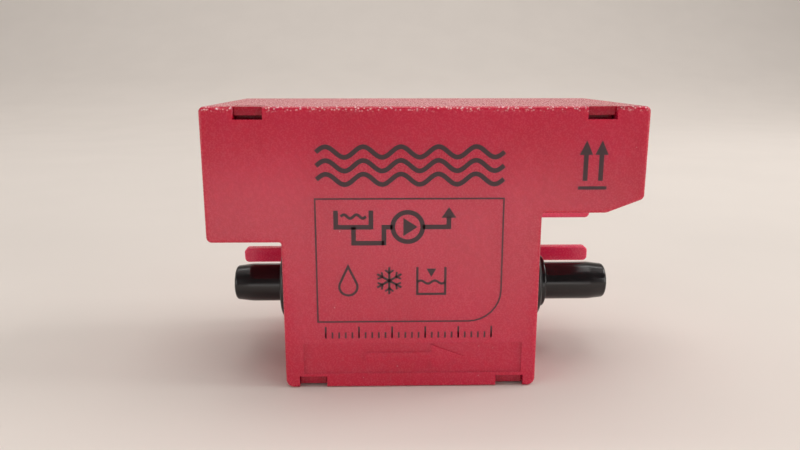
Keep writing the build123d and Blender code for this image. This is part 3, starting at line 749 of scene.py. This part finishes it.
def square_hook_heads(bm):
    """Square the hooks' front corners and bring their heads level with the walls they stand in."""
    near = 0.02 * MM
    for vertex in bm.verts:
        spot = vertex.co
        top, bottom = abs(spot.z - TOP_HEAD_Z) < near, abs(spot.z - BOTTOM_HEAD_Z) < near
        if (top or bottom) and abs(spot.y - HOOK_BEVEL_Y) < near:
            spot.y -= HOOK_BEVEL
        if top:
            spot.z = TOP_LEVEL_Z
        if bottom:
            spot.z = BOTTOM_LEVEL_Z


def softened(name, slot, material, width):
    """A copy of a CAD node's mesh with its sharp edges rounded, which stands for the node."""
    mesh = NODES[name].data.copy()
    bm = bmesh.new()
    bm.from_mesh(mesh)
    bmesh.ops.remove_doubles(bm, verts=bm.verts, dist=MERGE)
    if name == "rear_housing":
        square_hook_heads(bm)
    bmesh.ops.dissolve_limit(bm, angle_limit=math.radians(0.5), verts=bm.verts, edges=bm.edges)
    edges = roomy_edges(bm, width)
    bmesh.ops.bevel(bm, geom=edges, offset=width, segments=2, profile=0.5, affect="EDGES", material=-1)
    bm.to_mesh(mesh)
    bm.free()
    piece = link_mesh(name + "_moulded", mesh)
    shade(piece, material, 48)
    piece = weigh_normals(piece)
    keep(piece, slot, name)


class PUMP_OT_housing(bpy.types.Operator):
    """Finish the two half shells of the housing"""

    bl_idname = "pump.housing"
    bl_label = "Housing"

    def execute(self, context):
        edge = context.scene.pump_housing.edge
        softened("front_cover", "red_housing", eroded_abs(), edge)
        softened("rear_housing", "red_housing", rear_abs(), edge)
        return {"FINISHED"}


# ---- spigots and dampers ----
def ends(name, side):
    """A node's outer and inner X, seen from one side of the pump."""
    low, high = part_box(name)
    return (low.x, high.x) if side < 0 else (high.x, low.x)


# How far along +X the collar's outer face lies from the damper's, at the inlet and the outlet.
COLLAR_SHIFT = {-1: 0.3 * MM, 1: 1.2 * MM}
INNER_FLANGE = 2.0 * MM


def spigot_corners(side, name):
    """Outline corners of a spigot from its tip over the outside and back through the bore."""
    sizes = bpy.context.scene.pump_spigots
    tip, plug = ends(name, side)
    tube_end = ends("pump_tube", side)[0]
    damper_face = ends(name.replace("spigot", "damper"), side)[0]
    shoulder = damper_face + COLLAR_SHIFT[side]
    plug_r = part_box("armature")[1].y
    return [
        (tip, sizes.tip_radius, sizes.tip_round),
        (tip - side * sizes.tip_length, sizes.radius, 8 * MM),
        (shoulder, sizes.radius, 0.35 * MM),
        (shoulder, sizes.collar, 0.35 * MM),
        (tube_end, sizes.collar, 0),
        (tube_end, plug_r, 0),
        (plug, plug_r, 0.2 * MM),
        (plug, sizes.bore, 0),
        (tip, sizes.bore, 0.3 * MM),
    ]


class PUMP_OT_spigots(bpy.types.Operator):
    """Turn the inlet and the outlet spigot"""

    bl_idname = "pump.spigots"
    bl_label = "Hose spigots"

    def execute(self, context):
        material = polished_polyamide()
        for side, name in ((-1, "inlet_spigot"), (1, "outlet_spigot")):
            piece = lathe(name + "_turned", spigot_corners(side, name), material)
            keep(piece, "black_spigot", name)
        return {"FINISHED"}


def damper_corners(side, name):
    """Outline corners of a damper: outer flange, neck in the wall's hole and inner flange."""
    sizes = bpy.context.scene.pump_spigots
    outer, inner = ends(name, side)
    wall_in = inner + side * INNER_FLANGE
    wall_out = wall_in + side * sizes.wall
    return [
        (outer, sizes.collar, 0.25 * MM),
        (outer, sizes.damper, 0.8 * MM),
        (wall_out, sizes.damper, 0.2 * MM),
        (wall_out, sizes.neck, 0),
        (wall_in, sizes.neck, 0),
        (wall_in, sizes.damper, 0.3 * MM),
        (inner, sizes.neck, 0.3 * MM),
        (inner, sizes.collar, 0),
    ]


class PUMP_OT_dampers(bpy.types.Operator):
    """Turn the rubber dampers in the leg's walls"""

    bl_idname = "pump.dampers"
    bl_label = "Rubber dampers"

    def execute(self, context):
        material = moulded_rubber()
        for side, name in ((-1, "inlet_damper"), (1, "outlet_damper")):
            piece = lathe(name + "_moulded", damper_corners(side, name), material)
            keep(piece, "damper_rubber", name)
        return {"FINISHED"}


# ---- print ----
def film_layers():
    """The Y of the ink's face and of its sunk back."""
    film = bpy.context.scene.pump_print.film
    return FRONT_Y - film, FRONT_Y + film


MITRE_LIMIT = 0.3


def ribbon(bm, points, width, closed=False):
    """A flat printed line of even width along (X, Z) points, with mitred corners."""
    count = len(points)
    points = [Vector(point) for point in points]
    rows = []
    for i, point in enumerate(points):
        into = (point - points[i - 1]).normalized() if closed or i else None
        out = (points[(i + 1) % count] - point).normalized() if closed or i + 1 < count else into
        into = into or out
        along = (into + out).normalized()
        across = Vector((-along.y, along.x)) * (width / 2 / max(along.dot(out), MITRE_LIMIT))
        rows.append((point + across, point - across))
    face, back = [
        [[bm.verts.new((end.x, y, end.y)) for end in row] for row in rows] for y in film_layers()
    ]
    for i in range(count if closed else count - 1):
        j = (i + 1) % count
        bm.faces.new((face[i][0], face[j][0], face[j][1], face[i][1]))
        bm.faces.new((back[i][1], back[j][1], back[j][0], back[i][0]))
        for edge in (0, 1):
            bm.faces.new((face[i][edge], back[i][edge], back[j][edge], face[j][edge]))
    if not closed:
        for i in (0, count - 1):
            bm.faces.new((face[i][0], face[i][1], back[i][1], back[i][0]))


def patch(bm, points):
    """A flat printed area inside (X, Z) points."""
    face, back = [[bm.verts.new((x, y, z)) for x, z in points] for y in film_layers()]
    bm.faces.new(face)
    bm.faces.new(back)
    for i in range(len(points)):
        bm.faces.new((face[i - 1], face[i], back[i], back[i - 1]))


def printed(name, lines, areas=()):
    """One printed piece from (points, width, closed) lines and from filled areas."""
    bm = bmesh.new()
    for points, width, closed in lines:
        ribbon(bm, points, width, closed)
    for points in areas:
        patch(bm, points)
    bmesh.ops.recalc_face_normals(bm, faces=bm.faces)
    mesh = bpy.data.meshes.new(name)
    bm.to_mesh(mesh)
    bm.free()
    piece = link_mesh(name, mesh)
    shade(piece, ink(), 30)
    keep(piece, "red_housing")
    return piece


def ink():
    """The one ink of every print, made at its first use."""
    return bpy.data.materials.get("pad_printed_ink") or pad_ink()


def ring(x, z, radius, steps=48):
    """Points round a circle on the front."""
    turns = [2 * math.pi * step / steps for step in range(steps)]
    return [(x + radius * math.cos(turn), z + radius * math.sin(turn)) for turn in turns]


def wave(x0, x1, z, height, pitch):
    """Points along a level sine wave."""
    steps = round((x1 - x0) / pitch * 16)
    spots = [x0 + (x1 - x0) * step / steps for step in range(steps + 1)]
    return [(x, z + height * math.sin(2 * math.pi * (x - x0) / pitch)) for x in spots]


def arrow_head(x, z, reach, half, dx, dz):
    """A filled triangle with its tip ahead of (x, z) in the direction (dx, dz)."""
    return [(x + reach * dx, z + reach * dz), (x - half * dz, z + half * dx), (x + half * dz, z - half * dx)]


def drop(x, z, height):
    """The outline of a water drop that stands on its round end."""
    radius = 0.30 * height
    low = z - 0.5 * height + radius
    turns = [math.radians(30 - 240 * step / 20) for step in range(21)]
    belly = [(x + radius * math.cos(turn), low + radius * math.sin(turn)) for turn in turns]
    return [(x, z + 0.5 * height)] + belly


class PUMP_OT_face_print(bpy.types.Operator):
    """Print the waves, the framed flow diagram, the small signs, the scale and the arrows"""

    bl_idname = "pump.face_print"
    bl_label = "Front print"

    def execute(self, context):
        print_waves()
        print_frame()
        print_flow_diagram()
        print_signs()
        print_scale()
        print_upright_arrows()
        return {"FINISHED"}


def print_waves():
    """Three bold wave lines across the head."""
    bold = bpy.context.scene.pump_print.bold
    rows = [40.3 * MM, 42.75 * MM, 45.2 * MM]
    lines = [(wave(-19.6 * MM, 14.1 * MM, z, 0.95 * MM, 6.74 * MM), bold, False) for z in rows]
    printed("printed_waves", lines)


def print_frame():
    """The thin frame on the leg, with one large round corner."""
    sizes = bpy.context.scene.pump_print
    x0, x1 = -20.0 * MM, 14.25 * MM
    z0, z1 = 13.3 * MM, 36.75 * MM
    outline = rounded_outline([(x0, z1, 0), (x1, z1, 0), (x1, z0, sizes.corner), (x0, z0, 0)])
    printed("printed_frame", [(outline, sizes.line, True)])


def print_flow_diagram():
    """A condensate tray, a pump in its circle and a pipe that ends in an arrow."""
    bold = bpy.context.scene.pump_print.bold
    top, middle, foot = 34.6 * MM, 31.5 * MM, 28.5 * MM
    tray_left, tray_right = -16.3 * MM, -9.9 * MM
    drain = (tray_left + tray_right) / 2
    pump_x, pump_r = -3.2 * MM, 2.75 * MM
    pump_left, pump_right = pump_x - pump_r, pump_x + pump_r
    riser = pump_left - 1.6 * MM
    outlet = 4.3 * MM
    tray = [(tray_left, top), (tray_left, middle), (tray_right, middle), (tray_right, top)]
    water = wave(tray_left + 0.9 * MM, tray_right - 0.9 * MM, 33.5 * MM, 0.35 * MM, 2.3 * MM)
    lines = [
        (tray, bold, False),
        (water, 0.6 * bold, False),
        ([(drain, middle), (drain, foot), (riser, foot)], bold, False),
        ([(riser, foot - bold / 2), (riser, middle), (pump_left, middle)], bold, False),
        (ring(pump_x, middle, pump_r), bold, True),
        ([(pump_right, middle), (outlet, middle), (outlet, 33.4 * MM)], bold, False),
    ]
    areas = [
        arrow_head(pump_x - 0.8 * MM, middle, 2.6 * MM, 1.7 * MM, 1, 0),
        arrow_head(outlet, 33.2 * MM, 2.0 * MM, 1.35 * MM, 0, 1),
    ]
    printed("printed_flow_diagram", lines, areas)


def snowflake(x, z, arm, width):
    """The printed lines of a six-armed snow crystal."""
    lines = []
    for step in range(3):
        turn = math.radians(90 + 60 * step)
        along = Vector((math.cos(turn), math.sin(turn)))
        middle = Vector((x, z))
        lines.append(([tuple(middle - arm * along), tuple(middle + arm * along)], width, False))
        for side in (-1, 1):
            root = middle + side * 0.55 * arm * along
            for bend in (-50, 50):
                branch = math.radians(bend) + (turn if side > 0 else turn + math.pi)
                tip = root + 0.38 * arm * Vector((math.cos(branch), math.sin(branch)))
                lines.append(([tuple(root), tuple(tip)], 0.8 * width, False))
    return lines


def print_signs():
    """Small plain signs for water, cold and level."""
    fine = bpy.context.scene.pump_print.fine
    drop_x, snow_x, tank_x = -14.2 * MM, -6.6 * MM, 1.2 * MM
    z, half = 21.3 * MM, 2.6 * MM
    left, right, foot, top = tank_x - half, tank_x + half, z - half, z + half
    lines = [(drop(drop_x, z, 5.6 * MM), fine, True)]
    lines += snowflake(snow_x, z, half, fine)
    lines.append(([(left, top), (left, foot), (right, foot), (right, top)], fine, False))
    lines.append((wave(left, right, z - 0.3 * MM, 0.3 * MM, half), fine, False))
    areas = [arrow_head(tank_x, z + 2.3 * MM, 1.6 * MM, 0.9 * MM, 0, -1)]
    printed("printed_signs", lines, areas)


def print_scale():
    """A row of ticks, each fifth one taller, under the frame."""
    left_mm, foot_mm, width_mm = -18.6, 10.0, 0.30
    thickness = 2 * bpy.context.scene.pump_print.film
    tree, names = tick_tree()
    for name, count, pitch_mm, height_mm in (("short", 26, 1.25, 1.2), ("tall", 6, 6.25, 2.3)):
        values = {
            "Count": count,
            "Pitch": pitch_mm * MM,
            "Start": (left_mm * MM, FRONT_Y, (foot_mm + height_mm / 2) * MM),
            "Tick": (width_mm * MM, thickness, height_mm * MM),
            "Material": ink(),
        }
        piece = run_tree(tree, names, f"printed_{name}_ticks", bpy.data.meshes.new("ticks"), values)
        shade(piece, ink(), 30)
        keep(piece, "red_housing")


def print_upright_arrows():
    """Two arrows over a bar on the right arm: this side up."""
    bold = bpy.context.scene.pump_print.bold
    bar, foot, neck = 38.6 * MM, 39.9 * MM, 44.6 * MM
    lines = [([(27.6 * MM, bar), (32.8 * MM, bar)], 0.7 * bold, False)]
    areas = []
    for x in (28.8 * MM, 31.6 * MM):
        lines.append(([(x, foot), (x, neck)], bold, False))
        areas.append(arrow_head(x, neck, 2.6 * MM, 1.2 * MM, 0, 1))
    printed("printed_upright_arrows", lines, areas)


# ---- sockets ----
class PUMP_OT_sockets(bpy.types.Operator):
    """Finish the two plug-in sockets and their contacts"""

    bl_idname = "pump.sockets"
    bl_label = "Sockets"

    def execute(self, context):
        plastic, plating = socket_polyamide(), tinned_brass()
        for name in ("supply", "sensor"):
            softened(name + "_socket", "socket_plastic", plastic, 0.15 * MM)
            softened(name + "_contacts", "tinned_brass", plating, 0.10 * MM)
        dress(plating, "coil_terminals")
        return {"FINISHED"}


# ---- the pump and its solenoid ----
def coil_spring(name, material):
    """A copy of a coil spring's mesh, shown in place of the CAD node, which is hidden."""
    piece = link_mesh(name + "_coils", NODES[name].data.copy())
    shade(piece, material, 48)
    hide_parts(name)
    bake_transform(piece)


class PUMP_OT_piston_pump(bpy.types.Operator):
    """Finish the piston, the valves and the seals, and copy the springs"""

    bl_idname = "pump.piston_pump"
    bl_label = "Piston pump"

    def execute(self, context):
        dress(natural_nylon(), "pump_tube", "pump_cylinder", "suction_valve")
        dress(drawn_stainless(), "plunger")
        wire = spring_wire()
        coil_spring("buffer_spring", wire)
        coil_spring("main_spring", wire)
        coil_spring("suction_valve_spring", wire)
        coil_spring("outlet_valve_spring", wire)
        dress(nitrile_rubber(), "plunger_seal", "outlet_seat", "outlet_ball", "inlet_o_ring", "outlet_o_ring")
        return {"FINISHED"}


BOBBIN_R = 7.7 * MM
# Shares of a turn's pitch, and how many crown heights the wire lies below its top there.
CROWN = ((0.08, 1.4), (0.3, 0.25), (0.5, 0.0), (0.7, 0.25), (0.92, 1.4))


def winding_corners(turns):
    """Outline corners of the winding, with one round crown for each turn of its outer layer."""
    low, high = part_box("coil_winding")
    outer_r = high.y
    pitch = (high.x - low.x) / turns
    crown = 0.18 * pitch
    corners = [(low.x, BOBBIN_R, 0)]
    for turn in range(turns):
        start = low.x + turn * pitch
        corners += [(start + share * pitch, outer_r - depth * crown, 0) for share, depth in CROWN]
    return corners + [(high.x, BOBBIN_R, 0)]


class PUMP_OT_solenoid(bpy.types.Operator):
    """Wind the coil and finish the bobbin, the steel parts, the leads and the thermal cut-out"""

    bl_idname = "pump.solenoid"
    bl_label = "Solenoid"

    def execute(self, context):
        low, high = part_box("coil_winding")
        turns = round((high.x - low.x) / context.scene.pump_coil.wire)
        winding = lathe("coil_winding_layers", winding_corners(turns), enamelled_copper(), 72)
        keep(winding, "copper_winding", "coil_winding")
        parts = ("armature", "yoke", "inlet_pole_sleeve", "outlet_pole_sleeve", "board_screws")
        dress(plated_steel(), *parts)
        dress(filled_polyamide(), "coil_bobbin", "gap_spacer")
        dress(pvc_insulation(), "coil_leads", "cutout_leads")
        dress(drawn_aluminium(), "thermal_cutout")
        return {"FINISHED"}


# ---- electronics ----
class PUMP_OT_electronics(bpy.types.Operator):
    """Finish the circuit board and its components"""

    bl_idname = "pump.electronics"
    bl_label = "Electronics"

    def execute(self, context):
        dress(solder_mask(), "circuit_board")
        dress(relay_polyester(), "relay")
        dress(capacitor_polypropylene(), "film_capacitor")
        dress(shrink_sleeve(), "electrolytic_capacitor")
        dress(dipped_epoxy(), "varistor")
        dress(moulded_epoxy(), "triac", "controller_chip")
        dress(fuse_ceramic(), "fuse")
        dress(resistor_lacquer(), "resistors")
        return {"FINISHED"}


# ---- stage ----
class PUMP_OT_stage(bpy.types.Operator):
    """Set up the pale sweep, the soft lights and the camera"""

    bl_idname = "pump.stage"
    bl_label = "Stage"

    def execute(self, context):
        stage = context.scene.pump_stage
        sweep(stage_card())
        lights(stage.key)
        camera(stage.lens)
        world(stage.room)
        context.scene.view_settings.view_transform = "Standard"
        return {"FINISHED"}


def sweep(material):
    """A floor that curves up behind the pump."""
    width, front, bend, back, top = 3.0, -1.5, 0.9, 1.6, 2.0
    profile = rounded_outline([(front, 0, 0), (back, 0, bend), (back, top, 0)])
    vertices = [(x, y, z) for x in (-width, width) for y, z in profile]
    count = len(profile)
    faces = [(i, i + count, i + count + 1, i + 1) for i in range(count - 1)]
    mesh = bpy.data.meshes.new("sweep")
    mesh.from_pydata(vertices, [], faces)
    floor = link_mesh("sweep", mesh)
    shade(floor, material)


def area_light(name, spot, size, power, target=(0, 0, 0.02)):
    """A soft rectangular light that points at a target."""
    light = bpy.data.lights.new(name, "AREA")
    light.shape = "RECTANGLE"
    light.size, light.size_y = size
    light.energy = power
    light.color = linear("#FFFDFB")[:3]
    lamp = bpy.data.objects.new(name, light)
    lamp.location = spot
    lamp.rotation_euler = (Vector(target) - Vector(spot)).to_track_quat("-Z", "Y").to_euler()
    bpy.context.scene.collection.objects.link(lamp)


def lights(key):
    """A ceiling light, three lower ones round the pump, a bounce card, a back light and a wash."""
    area_light("ceiling_light", (0, -0.05, 1.10), (0.9, 0.7), 1.09 * key)
    area_light("right_light", (0.75, 0.02, 0.66), (0.4, 0.3), key)
    area_light("low_left_light", (-0.8, -0.55, 0.20), (0.5, 0.4), 0.66 * key)
    area_light("low_right_light", (0.8, -0.55, 0.20), (0.5, 0.4), 0.74 * key)
    area_light("bounce_card", (-0.005, -0.11, 0.004), (0.16, 0.05), 0.0085 * key, (-0.005, -0.02, 0.035))
    area_light("back_light", (0, 0.9, 0.28), (1.2, 0.25), 0.07 * key)
    area_light("wash_light", (0, 0.5, 1.3), (2.0, 0.4), 2.75 * key, (0, 1.6, 0.35))


EYE = (-7.19 * MM, -140.97 * MM, 58.89 * MM)
PITCH_DEGREES, YAW_DEGREES = 90 - 12.58, -1.22


def camera(lens):
    """The camera, a little above the pump and close in front of it."""
    data = bpy.data.cameras.new("camera")
    data.lens = lens
    data.sensor_width = 36
    data.clip_start = 0.01
    eye = bpy.data.objects.new("camera", data)
    eye.location = EYE
    eye.rotation_euler = (math.radians(PITCH_DEGREES), 0, math.radians(YAW_DEGREES))
    bpy.context.scene.collection.objects.link(eye)
    bpy.context.scene.camera = eye


def world(strength):
    """Pale light from the room: even all round, but dim from the front."""
    room = bpy.data.worlds.new("room")
    room.use_nodes = True
    tree = room.node_tree
    tree.nodes.clear()
    towards = add_node(tree, "ShaderNodeTexCoord").outputs["Object"]
    back = add_node(tree, "ShaderNodeSeparateXYZ", {"Vector": towards}).outputs["Y"]
    power = spread(tree, back, 0.15 * strength, strength, -0.5, 0.2)
    glow = add_node(tree, "ShaderNodeBackground", {"Color": linear("#F6F2EE"), "Strength": power})
    add_node(tree, "ShaderNodeOutputWorld", {"Surface": glow.outputs["Background"]})
    bpy.context.scene.world = room


# ---- panel and registration ----
class PUMP_PT_panel(bpy.types.Panel):
    """The pump's operators and settings"""

    bl_label = "Condensate pump"
    bl_idname = "PUMP_PT_panel"
    bl_space_type = "VIEW_3D"
    bl_region_type = "UI"
    bl_category = "Pump"

    def draw(self, context):
        for operator in OPERATORS:
            self.layout.operator(operator.bl_idname)
        for group, holder in SETTINGS.items():
            box = self.layout.box()
            for name in group.__annotations__:
                box.prop(getattr(context.scene, holder), name)


SETTINGS = {
    PumpHousing: "pump_housing",
    PumpSpigots: "pump_spigots",
    PumpPrint: "pump_print",
    PumpCoil: "pump_coil",
    PumpStage: "pump_stage",
}
OPERATORS = (
    PUMP_OT_housing,
    PUMP_OT_spigots,
    PUMP_OT_dampers,
    PUMP_OT_face_print,
    PUMP_OT_sockets,
    PUMP_OT_piston_pump,
    PUMP_OT_solenoid,
    PUMP_OT_electronics,
    PUMP_OT_stage,
)


def register():
    for group, name in SETTINGS.items():
        bpy.utils.register_class(group)
        setattr(bpy.types.Scene, name, bpy.props.PointerProperty(type=group))
    for operator in OPERATORS:
        bpy.utils.register_class(operator)
    bpy.utils.register_class(PUMP_PT_panel)


def unregister():
    bpy.utils.unregister_class(PUMP_PT_panel)
    for operator in reversed(OPERATORS):
        bpy.utils.unregister_class(operator)
    for group, name in reversed(SETTINGS.items()):
        delattr(bpy.types.Scene, name)
        bpy.utils.unregister_class(group)


def main():
    """Build every piece and the stage."""
    register()
    for operator in OPERATORS:
        group, name = operator.bl_idname.split(".")
        getattr(getattr(bpy.ops, group), name)()


if __name__ == "__main__":
    main()
